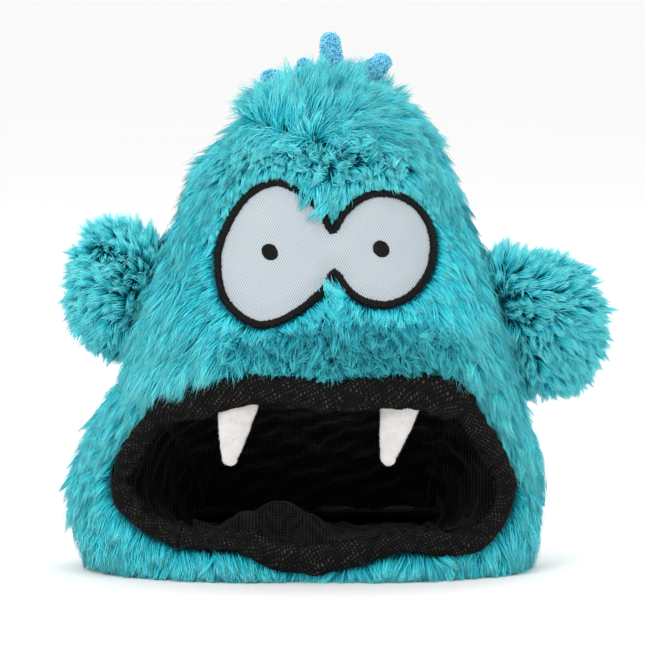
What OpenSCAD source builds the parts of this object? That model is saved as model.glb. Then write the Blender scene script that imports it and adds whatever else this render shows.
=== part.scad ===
// Moving mouth hand puppet: a plush monster whose lined mouth opens on a fabric hinge.
// Millimetres. +Z is up, the puppet faces -Y, and its own left side is +X.
// The origin is the centre of the base, on the surface that the puppet stands on.

/* [Plush skin] */
// Thickness of the plush skin: knitted backing and dense root of the pile
skin_t = 3; // [2:0.5:4]
// Squareness of the body's cross-section, 2 is an ellipse
body_square = 2.5; // [2.1:0.1:3]

/* [Mouth] */
// Half width of the woven band that binds the mouth
band_w = 5; // [4:0.5:5.5]
// Half depth of the same band
band_d = 3.5; // [2.5:0.5:4]
// How far the band stands in front of the skin
band_proud = 3.5; // [2:0.5:4]
// Thickness of the woven mouth lining
lining_t = 1.2; // [0.8:0.1:1.5]
// Thickness of the two stiffening boards
board_t = 2; // [1.5:0.5:3]
// Height of the jaw's fold line, the mouth's hinge
hinge_z = 14; // [13:0.5:15]
// Distance of the fold line behind the middle of the base
hinge_y = 50; // [47:1:52]

/* [Fangs] */
// Thickness of the felt
felt_t = 2; // [1:0.2:2.4]
// Length of each fang below its stitching
fang_l = 32; // [26:1:33]
// Width of each fang at its stitching
fang_w = 21; // [16:1:23]

/* [Eyes] */
// Width of the satin stitched border
stitch_w = 3; // [2:0.5:4]
// Radius of each pupil
pupil_r = 4.2; // [3:0.1:6]

/* [Arms] */
// Radius of the arm's root, which turns in the side seam
arm_root_r = 12; // [10:1:13]
// Height of the arm's root along the seam
arm_root_h = 30; // [20:2:34]

/* [Crest] */
// Radius of a crest spike at its root
spike_root_r = 6.5; // [4:0.5:7]
// Radius of a crest spike at its tip
spike_tip_r = 4.2; // [3:0.2:5]

/* [Hand pockets] */
// Inside width of the finger pocket
finger_w = 92; // [80:2:96]
// Inside height of the finger pocket
finger_h = 22; // [18:1:24]
// Inside width of the thumb pocket
thumb_w = 60; // [40:2:70]

/* [Hidden] */

plush = "#28aec2";
woven = "#1d1c1b";
felt = "#dcd8d4";
boucle = "#5fbbe6";
fill_white = "#f2f0ea";

gap = 0.6;          // clearance between neighbouring pieces
fit = 0.3;          // clearance between layers of one body

// ---------- Body form ----------
// Stations from the base to the crown: height, middle in x, half width, front y, back y.
STATIONS = [
    [0, -13, 99, -46, 62],
    [9, -13, 107, -52, 68],
    [28, -14.5, 112, -56, 71],
    [48, -15, 112, -60, 71.9],
    [72, -12, 106, -64, 71.5],
    [98, -8.5, 94, -67, 70],
    [120, -9, 87, -62, 68],
    [150, -7.5, 78, -54, 64],
    [184, -7, 65, -47, 58],
    [204, -6.5, 58, -42, 52],
    [221, -1.5, 45, -32, 43],
    [233, -2.5, 34, -21, 32],
    [241, -3, 18, -8, 19],
    [244, -2, 1.5, 3, 6]
];

function spline(a, b, c, d, t) =
    0.5 * (2 * b + (c - a) * t + (2 * a - 5 * b + 4 * c - d) * t * t
        + (3 * b - a - 3 * c + d) * t * t * t);
function open_curve(p, t) =
    let (n = len(p) - 1, i = min(floor(t), n - 1), f = t - i)
    spline(p[max(i - 1, 0)], p[i], p[i + 1], p[min(i + 2, n)], f);
function closed_curve(p, t) =
    let (n = len(p), i = floor(t), f = t - i)
    spline(p[(i - 1 + n) % n], p[i % n], p[(i + 1) % n], p[(i + 2) % n], f);

CROWN_Z = STATIONS[len(STATIONS) - 1][0];
ROWS = [for (t = [0:0.5:len(STATIONS) - 1]) open_curve(STATIONS, t)];
function column(k) = [for (r = ROWS) [r[0], r[k]]];
MID_X = column(1);
HALF_W = column(2);
FRONT_Y = column(3);
BACK_Y = column(4);

function power(c) = sign(c) * pow(abs(c), 2 / body_square);
// A point of the body's surface, moved outwards by off; angle 0 is +X and 90 the back.
function body_point(z, angle, off) =
    let (yf = lookup(z, FRONT_Y), yb = lookup(z, BACK_Y))
    [lookup(z, MID_X) + (lookup(z, HALF_W) + off) * power(cos(angle)),
        (yf + yb) / 2 + ((yb - yf) / 2 + off) * power(sin(angle)), z];
// The front surface's y over a place in x and z.
function front_y(x, z, off = 0) =
    let (yf = lookup(z, FRONT_Y), yb = lookup(z, BACK_Y),
        reach = min(1, abs(x - lookup(z, MID_X)) / (lookup(z, HALF_W) + off)))
    (yf + yb) / 2 - ((yb - yf) / 2 + off) * pow(1 - pow(reach, body_square), 1 / body_square);

// ---------- Solids from grids of points ----------
// A closed solid between two grids with the same rows and columns.
module sheet(outer, inner) {
    rows = len(outer);
    cols = len(outer[0]);
    n = rows * cols;
    points = concat([for (r = outer) for (p = r) p], [for (r = inner) for (p = r) p]);
    quads = concat(
        [for (i = [0:rows - 2]) for (j = [0:cols - 2]) let (a = i * cols + j)
            each [[a, a + 1, a + cols + 1], [a, a + cols + 1, a + cols]]],
        [for (i = [0:rows - 2]) for (j = [0:cols - 2]) let (a = n + i * cols + j)
            each [[a, a + cols + 1, a + 1], [a, a + cols, a + cols + 1]]],
        [for (j = [0:cols - 2]) each [[j, n + j, n + j + 1], [j, n + j + 1, j + 1]]],
        [for (j = [0:cols - 2]) let (a = (rows - 1) * cols + j)
            each [[a, a + 1, n + a + 1], [a, n + a + 1, n + a]]],
        [for (i = [0:rows - 2]) let (a = i * cols)
            each [[a, a + cols, n + a + cols], [a, n + a + cols, n + a]]],
        [for (i = [0:rows - 2]) let (a = i * cols + cols - 1)
            each [[a, n + a, n + a + cols], [a, n + a + cols, a + cols]]]
    );
    polyhedron(points, quads, convexity = 8);
}

// A patch of the body's skin between two angles and two heights.
module skin_patch(from, to, outer_off, inner_off, low = 0, high = 300, step = 7.5) {
    zs = [for (r = ROWS) if (r[0] > low + 0.5 && r[0] < high - 0.5) r[0]];
    heights = concat([low], zs, high < CROWN_Z ? [high] : []);
    angles = [for (a = [from:step:to]) a];
    sheet([for (z = heights) [for (a = angles) body_point(z, a, outer_off)]],
        [for (z = heights) [for (a = angles) body_point(min(z, CROWN_Z + inner_off), a, inner_off)]]);
}

// A solid that fills the body's form between two heights.
module body_fill(off, low, high, step = 12) {
    zs = [for (r = ROWS) if (r[0] > low + 0.5 && r[0] < high - 0.5) r[0]];
    heights = concat([low], zs, [high]);
    sides = 360 / step;
    n = len(heights);
    points = [for (z = heights) for (i = [0:sides - 1]) body_point(z, i * step, off)];
    faces = concat(
        [[for (i = [0:sides - 1]) i]],
        [[for (i = [sides - 1:-1:0]) (n - 1) * sides + i]],
        [for (k = [0:n - 2]) for (i = [0:sides - 1])
            let (a = k * sides + i, b = k * sides + (i + 1) % sides)
            each [[a, a + sides, b + sides], [a, b + sides, b]]]
    );
    polyhedron(points, faces, convexity = 4);
}

// A tube of elliptical section along a line of points near the front surface.
module band(line, half_w, half_d, sides = 10) {
    n = len(line);
    frames = [for (i = [0:n - 1])
        let (t = line[min(i + 1, n - 1)] - line[max(i - 1, 0)],
            u = t / norm(t), side = cross(u, [0, -1, 0]), b = side / norm(side))
        [b, cross(b, u)]];
    points = [for (i = [0:n - 1]) for (k = [0:sides - 1])
        line[i] + half_w * cos(k * 360 / sides) * frames[i][0]
            + half_d * sin(k * 360 / sides) * frames[i][1]];
    faces = concat(
        [[for (k = [0:sides - 1]) k]],
        [[for (k = [sides - 1:-1:0]) (n - 1) * sides + k]],
        [for (i = [0:n - 2]) for (k = [0:sides - 1])
            let (a = i * sides + k, b = i * sides + (k + 1) % sides)
            each [[a, a + sides, b + sides], [a, b + sides, b]]]
    );
    polyhedron(points, faces, convexity = 6);
}

// ---------- Mouth outline ----------
// The middle of the mouth's band, seen from the front, from the lower right corner up and round.
RIM = [
    [54, 21.5], [73, 25], [83, 36], [85, 50], [79, 65], [69, 81], [61, 94], [46, 102],
    [24, 101], [0, 99], [-22, 101], [-44, 102], [-66, 96], [-84, 90], [-95, 77],
    [-105, 62], [-109, 47], [-98, 32], [-78, 23.5], [-50, 22], [-30, 16], [-8, 14.5],
    [14, 17], [32, 21.5]
];
UPPER_RIM_END = 18;        // the upper band runs from point 0 to this point
function rim_2d(t) = closed_curve(RIM, t);
function rim_point(t) =
    let (p = rim_2d(t)) [p[0], front_y(p[0], p[1], band_proud), p[1]];

THROAT_LEFT = 48;          // the throat's end in +x
THROAT_RIGHT = -70;        // and in -x
THROAT_Y = hinge_y - 4;
THROAT_TOP = hinge_z + 10;
THROAT_FLOOR = hinge_z + 2;

// A lining from a stretch of the rim back to a line in the throat; it arches by lift_a to lift_b
// in the middle of its run.
function lining_grid(from, to, back_a, back_b, shift, lift_a = 0, lift_b = 0, cols = 20, rows = 8) =
    let (start = 0.06)
    [for (i = [0:rows]) let (v = start + (0.985 - start) * i / rows)
        [for (j = [0:cols]) let (u = j / cols, front = rim_point(from + (to - from) * u),
                back = back_a + (back_b - back_a) * u, lift = lift_a + (lift_b - lift_a) * u)
            front + (back - front) * v + [0, 0, 4 * lift * v * (1 - v)] + shift]];
// A cloth of lining_t between such a grid and its copy moved by shift.
module lining(from, to, back_a, back_b, shift, lift_a = 0, lift_b = 0, cols = 20) {
    sheet(lining_grid(from, to, back_a, back_b, shift, lift_a, lift_b, cols),
        lining_grid(from, to, back_a, back_b, [0, 0, 0], lift_a, lift_b, cols));
}

// ---------- Head ----------
module mouth_cut(grow) {
    rotate([90, 0, 0]) translate([0, 0, 5]) linear_extrude(100)
        offset(r = grow, $fn = 24) polygon([for (t = [0:0.5:len(RIM) - 0.5]) rim_2d(t)]);
}
// The jaw's outline from above: its front and rear edges in x, and the rear edge in y.
CHIN_LEFT = 56;
CHIN_RIGHT = -80;
CHIN_REAR_LEFT = 43;
CHIN_REAR_RIGHT = -67;
CHIN_BACK = 42;
module chin_outline(grow) {
    polygon([
        [CHIN_RIGHT - grow, -120], [CHIN_LEFT + grow, -120], [CHIN_LEFT + grow, -50],
        [CHIN_REAR_LEFT + grow, CHIN_BACK + grow], [CHIN_REAR_RIGHT - grow, CHIN_BACK + grow],
        [CHIN_RIGHT - grow, -50]
    ]);
}

module face_panel() {
    color(plush) difference() {
        skin_patch(180, 360, 0, -skin_t);
        mouth_cut(band_w + gap);
        translate([CHIN_RIGHT - 2, -120, -5]) cube([CHIN_LEFT - CHIN_RIGHT + 4, 120, 25]);
    }
}

// The hand opening: low on the back, round to the seam on the puppet's left side.
OPEN_LOW = 36;
OPEN_HIGH = 96;
OPEN_X = -6;
module hand_cut(grow) {
    r = 16;
    hull() {
        for (x = [OPEN_X + r, 140], z = [OPEN_LOW + r, OPEN_HIGH - r])
            translate([x, 5 - grow, z]) rotate([-90, 0, 0]) cylinder(r = r + grow, h = 90, $fn = 32);
    }
}

module back_panel() {
    color(plush) difference() {
        skin_patch(0.5, 179.5, 0, -skin_t, step = 7.458);
        hand_cut(0);
    }
}

module hand_lining() {
    color(woven) difference() {
        skin_patch(-15, 195, -skin_t - fit, -skin_t - fit - lining_t, 24, 126);
        hand_cut(0);
    }
}

// A folded tape round the hand opening's edge, outside the skin.
module opening_binding() {
    color(plush) difference() {
        skin_patch(1, 170, 2, fit, 28, 105, 5);
        hand_cut(0);
        difference() {
            translate([-200, 0, 0]) cube([400, 100, 200]);
            hand_cut(5);
        }
    }
}

// The woven panel under the body, open where the jaw lies and folds.
module base_panel() {
    color(woven) difference() {
        body_fill(-skin_t - fit, 0, 1.6);
        translate([0, 0, -1]) linear_extrude(4) chin_outline(2);
    }
}

module head_stuffing() {
    color(fill_white) body_fill(-skin_t - 1, 131, 238);
}

module stuffing_liner() {
    color(woven) body_fill(-skin_t - 1, 129, 130.5);
}

// ---------- Eyes ----------
// Two overlapping eyes, in x and z: the left one's middle and half sizes, and the right one's outline.
LEFT_EYE = [23.4, 168.5, 27.2, 29.3];
RIGHT_EYE = [
    [-61.4, 163], [-56.5, 180], [-45, 196.5], [-28, 203], [-9, 191], [-1, 176],
    [-0.5, 162], [-4, 149], [-22, 134.5], [-40, 129.7], [-57, 141.5]
];
module eyes_2d(grow) {
    offset(delta = grow) {
        translate([LEFT_EYE[0], LEFT_EYE[1]])
            polygon([for (a = [0:7.5:352.5]) [LEFT_EYE[2] * cos(a), LEFT_EYE[3] * sin(a)]]);
        polygon([for (t = [0:0.25:len(RIGHT_EYE) - 0.25]) closed_curve(RIGHT_EYE, t)]);
    }
}
module on_face(low, high) {
    intersection() {
        skin_patch(205, 335, high, low, 125, 210, 5);
        rotate([90, 0, 0]) linear_extrude(100) children();
    }
}
module eye_patch() { color("#dfe6ec") on_face(fit, 1.3) eyes_2d(-stitch_w - 0.15); }
module eye_outline() {
    color(woven) on_face(fit, 2.1) difference() {
        eyes_2d(0);
        eyes_2d(-stitch_w);
    }
}
module pupil(x, z) {
    color(woven) on_face(1.4, 2.4) translate([x, z]) circle(r = pupil_r, $fn = 32);
}
module left_pupil() { pupil(22.5, 168.5); }
module right_pupil() { pupil(-33.5, 167); }

// ---------- Roof of the mouth ----------
PALATE_ARCH = 21;          // rise of the palate over a straight line from lip to throat
PALATE_TILT = 27;          // slope of the board that lies on it
module palate_lining() {
    color(woven) lining(5, 14, [THROAT_LEFT, THROAT_Y, THROAT_TOP], [THROAT_RIGHT, THROAT_Y, THROAT_TOP],
        [0, 0, lining_t], PALATE_ARCH, PALATE_ARCH);
}
module on_palate() { translate([-11, -52, 110]) rotate([-PALATE_TILT, 0, 0]) children(); }
module palate_board() {
    color("#8a6f4d") on_palate() translate([-52, 0, 0]) cube([104, 70, board_t]);
}
module finger_pocket() {
    length = 48;
    color(woven) on_palate() translate([-finger_w / 2 - lining_t, 14, board_t + fit]) difference() {
        cube([finger_w + 2 * lining_t, length, finger_h + 2 * lining_t]);
        translate([lining_t, lining_t, lining_t]) cube([finger_w, length, finger_h]);
    }
}
module left_cheek_lining() {
    x = THROAT_LEFT + 1.5;
    color(woven) lining(0.3, 4.95, [x, THROAT_Y, THROAT_FLOOR], [x, THROAT_Y, THROAT_TOP],
        [lining_t, 0, 0], 0, PALATE_ARCH, 10);
}
module right_cheek_lining() {
    x = THROAT_RIGHT - 1.5;
    color(woven) lining(14.05, 17.7, [x, THROAT_Y, THROAT_TOP], [x, THROAT_Y, THROAT_FLOOR],
        [-lining_t, 0, 0], PALATE_ARCH, 0, 10);
}
// The fold between palate and jaw, a channel round the hinge line.
module throat_lining() {
    r = 7.6;
    color(woven) translate([THROAT_RIGHT, hinge_y, hinge_z]) rotate([90, 0, 90])
        linear_extrude(THROAT_LEFT - THROAT_RIGHT) difference() {
            circle(r = r + lining_t, $fn = 48);
            circle(r = r, $fn = 48);
            polygon([[0, 0], [-2.6, 20], [-20, 20], [-20, -20], [6, -20]]);
        }
}
module upper_lip_band() {
    color(woven) band([for (t = [0.1:0.35:UPPER_RIM_END - 0.1]) rim_point(t)], band_w, band_d);
}

// ---------- Jaw ----------
module jaw_lining() {
    color(woven) lining(UPPER_RIM_END + 0.2, len(RIM) - 0.2, [THROAT_RIGHT + 2, THROAT_Y, THROAT_FLOOR],
        [THROAT_LEFT - 2, THROAT_Y, THROAT_FLOOR], [0, 0, lining_t]);
}
module jaw_board() {
    color("#8a6f4d") translate([-62, -44, 12]) cube([104, 86, board_t]);
}
module thumb_pocket() {
    wall = lining_t;
    length = 70;
    height = 8.6;
    color(woven) translate([-10 - thumb_w / 2, -30, 3.2]) difference() {
        cube([thumb_w + 2 * wall, length, height]);
        translate([wall, wall, wall]) cube([thumb_w, length, height - 2 * wall]);
    }
}
module chin_panel() {
    floor_back = CHIN_BACK + 120;
    color(plush) difference() {
        intersection() {
            body_fill(0, 0, 40);
            linear_extrude(20) chin_outline(0);
            union() {
                translate([-200, -120, 0]) cube([400, floor_back, skin_t]);
                translate([-200, -120, 0]) cube([400, 90, 20]);
            }
        }
        intersection() {
            translate([-200, -120, skin_t]) cube([400, 200, 30]);
            body_fill(-skin_t, 2.9, 45);
        }
        mouth_cut(band_w + gap);
    }
}
module lower_lip_band() {
    color(woven) band([for (t = [UPPER_RIM_END + 0.12:0.3:len(RIM) - 0.12]) rim_point(t)], band_w, band_d);
}

// ---------- Arms ----------
// Side, root point, seam lean, then the fist's middle from the root and its half sizes.
LEFT_ARM = [1, [90, 6, 132], -13, [19.4, 0, -7], [22, 21, 30]];
RIGHT_ARM = [-1, [-103.4, 6, 141], 21.5, [-10.2, 0, 3], [18, 21, 29]];
module arm_form(arm, inset) {
    hull() {
        rotate([0, arm[2], 0]) for (s = [-1, 1])
            translate([0, 0, s * arm_root_h / 2]) sphere(r = arm_root_r - inset, $fn = 22);
        translate(arm[3]) scale(arm[4] - [inset, inset, inset]) sphere(r = 1, $fn = 28);
    }
}
module arm_at(arm) { translate(arm[1]) children(); }
// The plush bag of an arm, with the slit through which it was filled at the seam.
module arm_fur(arm) {
    color(plush) arm_at(arm) difference() {
        arm_form(arm, 0);
        arm_form(arm, skin_t);
        rotate([0, arm[2], 0]) translate([-arm[0] * arm_root_r, 0, 0])
            cube([2 * skin_t + 4, 1.6, arm_root_h - 6], center = true);
    }
}
module arm_stuffing(arm) { color(fill_white) arm_at(arm) arm_form(arm, skin_t + fit); }
module left_arm_fur() { arm_fur(LEFT_ARM); }
module left_arm_stuffing() { arm_stuffing(LEFT_ARM); }
module right_arm_fur() { arm_fur(RIGHT_ARM); }
module right_arm_stuffing() { arm_stuffing(RIGHT_ARM); }

// ---------- Fangs ----------
FANG_Z = 92;
FANG_BACK = 1.8;           // clearance behind the band
module fang(x, lean) {
    tip_r = 2.6;
    color(felt) translate([x, front_y(x, FANG_Z, band_proud) + band_d + FANG_BACK + felt_t, FANG_Z])
        rotate([90, 0, 0]) linear_extrude(felt_t) hull() {
            translate([-fang_w / 2, 0]) square([fang_w, 1]);
            translate([lean, tip_r - fang_l]) circle(r = tip_r, $fn = 24);
        }
}
module left_fang() { fang(33, -7); }
module right_fang() { fang(-49, -4.5); }

// ---------- Crest ----------
// Each spike: root x, y, z, lean to the side, lean back and length from root to tip.
SPIKES = [
    [-23, 18, 246.8, -68, 4, 12],
    [-11, 30, 243.6, -22, 8, 14],
    [-2, 12, 251.3, -3, 4, 19.4],
    [10.2, 17.6, 249, 51, 4, 17.2]
];
module crest_spike(i) {
    s = SPIKES[i];
    color(boucle) translate([s[0], s[1], s[2]]) rotate([-s[4], s[3], 0]) union() {
        sphere(r = spike_root_r, $fn = 32);
        cylinder(r1 = spike_root_r, r2 = spike_tip_r, h = s[5], $fn = 32);
        translate([0, 0, s[5]]) sphere(r = spike_tip_r, $fn = 32);
    }
}

face_panel();
back_panel();
head_stuffing();
stuffing_liner();
hand_lining();
opening_binding();
base_panel();
eye_patch();
eye_outline();
left_pupil();
right_pupil();
palate_lining();
palate_board();
finger_pocket();
left_cheek_lining();
right_cheek_lining();
throat_lining();
upper_lip_band();
jaw_lining();
jaw_board();
thumb_pocket();
chin_panel();
lower_lip_band();
left_arm_fur();
left_arm_stuffing();
right_arm_fur();
right_arm_stuffing();
left_fang();
right_fang();
crest_spike(0);  // crest_spike_1
crest_spike(1);  // crest_spike_2
crest_spike(2);  // crest_spike_3
crest_spike(3);  // crest_spike_4
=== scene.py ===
"""Looks of the moving mouth puppet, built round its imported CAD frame.

Metres, +Z up, the face looks along -Y and the puppet's own left side is +X. Every piece stands on a CAD
node: cloth follows the node's shape, and the pile grows out of it as closed, pointed strands.
"""
import math

import bmesh
import bpy
import numpy as np
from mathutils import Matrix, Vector
from mathutils.bvhtree import BVHTree
from mathutils.kdtree import KDTree


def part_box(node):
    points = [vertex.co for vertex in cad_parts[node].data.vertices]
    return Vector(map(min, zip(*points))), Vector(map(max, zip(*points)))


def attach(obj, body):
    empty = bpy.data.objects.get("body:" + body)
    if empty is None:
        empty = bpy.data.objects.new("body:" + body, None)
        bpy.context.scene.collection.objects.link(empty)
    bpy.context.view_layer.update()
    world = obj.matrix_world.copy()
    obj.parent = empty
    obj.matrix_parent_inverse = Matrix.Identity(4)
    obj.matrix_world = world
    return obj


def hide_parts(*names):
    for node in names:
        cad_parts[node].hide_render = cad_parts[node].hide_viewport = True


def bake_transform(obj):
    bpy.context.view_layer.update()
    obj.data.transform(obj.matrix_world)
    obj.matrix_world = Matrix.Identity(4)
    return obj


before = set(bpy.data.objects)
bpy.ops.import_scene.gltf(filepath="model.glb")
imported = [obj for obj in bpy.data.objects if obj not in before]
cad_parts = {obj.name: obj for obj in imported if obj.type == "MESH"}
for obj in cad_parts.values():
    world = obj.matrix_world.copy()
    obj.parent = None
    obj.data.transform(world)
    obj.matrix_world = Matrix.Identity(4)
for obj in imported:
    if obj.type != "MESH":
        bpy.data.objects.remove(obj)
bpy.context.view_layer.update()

MM = 0.001
UV_LAYER = "OFBake"
TAU = 2 * math.pi
DOWN = np.array([0.0, 0.0, -1.0])
UP = -DOWN
FORWARD = np.array([0.0, -1.0, 0.0])

# Cloth that crosses the mouth hinge is set in its place on neither the head nor the jaw.
ACROSS_HINGE = "across the mouth hinge"
HINGE_TOP = 110 * MM                 # above this height nothing moves with the jaw

# Eyes, as in the CAD: the left one is an ellipse, the right one a curve through points, in x and z.
LEFT_EYE = (23.4, 168.5, 27.2, 29.3)
RIGHT_EYE = [
    (-61.4, 163), (-56.5, 180), (-45, 196.5), (-28, 203), (-9, 191), (-1, 176),
    (-0.5, 162), (-4, 149), (-22, 134.5), (-40, 129.7), (-57, 141.5),
]
STITCH_W = 3.4 * MM
PUPILS = {"left_pupil": (22.5, 168.5), "right_pupil": (-33.5, 167.0)}
PUPIL_R = 4.2 * MM

# The middle line of the mouth's band in x and z, as in the CAD.
RIM = [
    (54, 21.5), (73, 25), (83, 36), (85, 50), (79, 65), (69, 81), (61, 94), (46, 102),
    (24, 101), (0, 99), (-22, 101), (-44, 102), (-66, 96), (-84, 90), (-95, 77),
    (-105, 62), (-109, 47), (-98, 32), (-78, 23.5), (-50, 22), (-30, 16), (-8, 14.5),
    (14, 17), (32, 21.5),
]
RIM_STEPS = 40                       # between two of its points, in the smooth line
UPPER_END = 18                       # the upper band runs from point 0 to this point
WEAVE_PITCH = 1.9 * MM               # between two threads of the band's weave, and how many go round it
WEAVE_AROUND = 18
BAND_W = 5.4 * MM
BAND_D = 3.6 * MM

WHORL = np.array([-4.0, 4.0, 205.0]) * MM     # the pile parts around this point
ARM_ROOTS = {"left_arm": (90, 6, 132), "right_arm": (-103.4, 6, 141)}


# ---------- Numbers ----------
def unit(v):
    return v / np.maximum(np.linalg.norm(v, axis=-1, keepdims=True), 1e-12)


def along_surface(v, normals):
    return v - (v * normals).sum(-1, keepdims=True) * normals


def ripple(points, size, seed, channels=1):
    """A smooth field of about unit height over points, with features of that size."""
    rng = np.random.default_rng(seed)
    waves = unit(rng.normal(size=(9, 3))) * TAU / size * rng.uniform(0.5, 1.5, (9, 1))
    phase = rng.uniform(0, TAU, (9, channels))
    field = np.sin((points @ waves.T)[:, :, None] + phase[None]).sum(1) / 3
    return field[:, 0] if channels == 1 else field


def smooth_step(x, low, high):
    t = np.clip((x - low) / (high - low), 0, 1)
    return t * t * (3 - 2 * t)


def catmull(points, closed, steps):
    """A smooth line through points, with that many steps between each two."""
    p = np.array(points, float)
    n = len(p)
    spans = n if closed else n - 1
    t = np.arange(spans * steps + (0 if closed else 1)) / steps
    i = np.minimum(t.astype(int), spans - 1)
    f = (t - i)[:, None]
    pick = (lambda k: p[k % n]) if closed else (lambda k: p[np.clip(k, 0, n - 1)])
    a, b, c, d = pick(i - 1), pick(i), pick(i + 1), pick(i + 2)
    return 0.5 * (2 * b + (c - a) * f + (2 * a - 5 * b + 4 * c - d) * f**2
                  + (3 * b - a - 3 * c + d) * f**3)


def respaced(line, step, closed=False):
    """The line again with even steps."""
    if closed:
        line = np.vstack([line, line[:1]])
    gone = np.concatenate([[0], np.cumsum(np.linalg.norm(np.diff(line, axis=0), axis=1))])
    count = max(3, int(round(gone[-1] / step)))
    at = np.linspace(0, gone[-1], count + 1)[: count if closed else None]
    return np.stack([np.interp(at, gone, line[:, k]) for k in range(line.shape[1])], 1)


# ---------- Meshes ----------
def added(name, data):
    """A new object in the scene with that data."""
    thing = bpy.data.objects.new(name, data)
    bpy.context.scene.collection.objects.link(thing)
    return thing


def mesh_object(name, points, faces, material, uv=None, smooth=True):
    """A new object from points and a list of arrays of faces, each array with one number of corners."""
    mesh = bpy.data.meshes.new(name)
    corners = np.concatenate([f.ravel() for f in faces]).astype(np.int32)
    sizes = np.concatenate([np.full(len(f), f.shape[1]) for f in faces])
    starts = np.concatenate([[0], np.cumsum(sizes)[:-1]]).astype(np.int32)
    mesh.vertices.add(len(points))
    mesh.vertices.foreach_set("co", np.asarray(points, np.float32).ravel())
    mesh.loops.add(len(corners))
    mesh.loops.foreach_set("vertex_index", corners)
    mesh.polygons.add(len(sizes))
    mesh.polygons.foreach_set("loop_start", starts)
    mesh.update(calc_edges=True)
    mesh.polygons.foreach_set("use_smooth", np.full(len(sizes), smooth))
    if uv is not None:
        layer = mesh.uv_layers.new(name=UV_LAYER)
        layer.uv.foreach_set("vector", uv[corners].astype(np.float32).ravel())
    mesh.materials.append(material)
    return added(name, mesh)


def vertex_values(mesh, kind):
    values = np.zeros(len(mesh.vertices) * 3, np.float32)
    mesh.vertices.foreach_get(kind, values)
    return values.reshape(-1, 3).astype(float)


def points_of(mesh):
    return vertex_values(mesh, "co")


def normals_of(mesh):
    return vertex_values(mesh, "normal")


def set_points(mesh, points):
    mesh.vertices.foreach_set("co", np.asarray(points, np.float32).ravel())
    mesh.update()


def tree_of(*nodes):
    """A ray casting tree over CAD nodes."""
    points, faces, start = [], [], 0
    for node in nodes:
        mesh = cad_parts[node].data
        points += [v.co.copy() for v in mesh.vertices]
        faces += [tuple(start + i for i in p.vertices) for p in mesh.polygons]
        start = len(points)
    return BVHTree.FromPolygons(points, faces)


def distance_to(node, points):
    """How far each point is from a node's surface."""
    tree = tree_of(node)
    return np.array([tree.find_nearest(p)[3] for p in points])


def nearest(places, points):
    """The index of the place that is nearest to each point."""
    tree = KDTree(len(places))
    for i, place in enumerate(places):
        tree.insert(place, i)
    tree.balance()
    return np.array([tree.find(p)[1] for p in points])


def triangles_of(mesh):
    """Corners, middles and normals of a mesh's triangles."""
    mesh.calc_loop_triangles()
    index = np.zeros(len(mesh.loop_triangles) * 3, np.int32)
    mesh.loop_triangles.foreach_get("vertices", index)
    corners = points_of(mesh)[index.reshape(-1, 3)]
    cross = np.cross(corners[:, 1] - corners[:, 0], corners[:, 2] - corners[:, 0])
    return corners, corners.mean(1), cross


def scatter(mesh, density, seed, outward_from=None):
    """Places and normals on a mesh, density to the square millimetre.

    With outward_from they are only on faces that look away from it, and on none that look down."""
    corners, middle, cross = triangles_of(mesh)
    area = np.linalg.norm(cross, axis=1) / 2
    normal = unit(cross)
    if outward_from is not None:
        out = unit(middle - outward_from(middle))
        looks_out = (normal * out).sum(1) > 0.35
        looks_down = normal[:, 2] <= -0.7
        area = np.where(looks_out & ~looks_down, area, 0)
    count = int(area.sum() / MM**2 * density)
    rng = np.random.default_rng(seed)
    pick = rng.choice(len(area), count, p=area / area.sum())
    u, v = rng.random((2, count, 1))
    u, v = np.where(u + v > 1, 1 - u, u), np.where(u + v > 1, 1 - v, v)
    a, b, c = corners[pick, 0], corners[pick, 1], corners[pick, 2]
    return a + u * (b - a) + v * (c - a), normal[pick]


def copied(node, name, material, cuts):
    """A new object with a CAD node's mesh, welded, cut finer and with the node's place."""
    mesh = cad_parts[node].data.copy()
    mesh.name = name
    work = bmesh.new()
    work.from_mesh(mesh)
    bmesh.ops.remove_doubles(work, verts=work.verts, dist=0.001 * MM)
    for _ in range(cuts):
        long = [e for e in work.edges if e.calc_length() > 2.5 * MM]
        bmesh.ops.subdivide_edges(work, edges=long, cuts=1, use_grid_fill=True)
    bmesh.ops.triangulate(work, faces=work.faces)
    bmesh.ops.recalc_face_normals(work, faces=work.faces)
    work.to_mesh(mesh)
    work.free()
    mesh.materials.clear()
    mesh.materials.append(material)
    mesh.polygons.foreach_set("use_smooth", np.full(len(mesh.polygons), True))
    return added(name, mesh)


def settle(piece, body, node=None):
    """Puts a piece on its body, or across the mouth hinge, in a CAD node's place."""
    if body == ACROSS_HINGE:
        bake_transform(piece)
    else:
        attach(piece, body)
    if node is not None:
        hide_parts(node)


def cloth_copy(node, name, material, body, slot, cuts, size, height, seed, extra=None):
    """Soft cloth in a node's place: its mesh, cut finer and rumpled by a smooth field."""
    made = copied(node, name, material, cuts)
    points = points_of(made.data)
    moved = ripple(points, size, seed, 3) * height
    if extra is not None:
        moved = moved + extra(points)
    points = points + moved
    points[:, 2] = np.maximum(points[:, 2], 0.2 * MM)
    set_points(made.data, points)
    settle(made, body, node)
    return made


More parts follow.
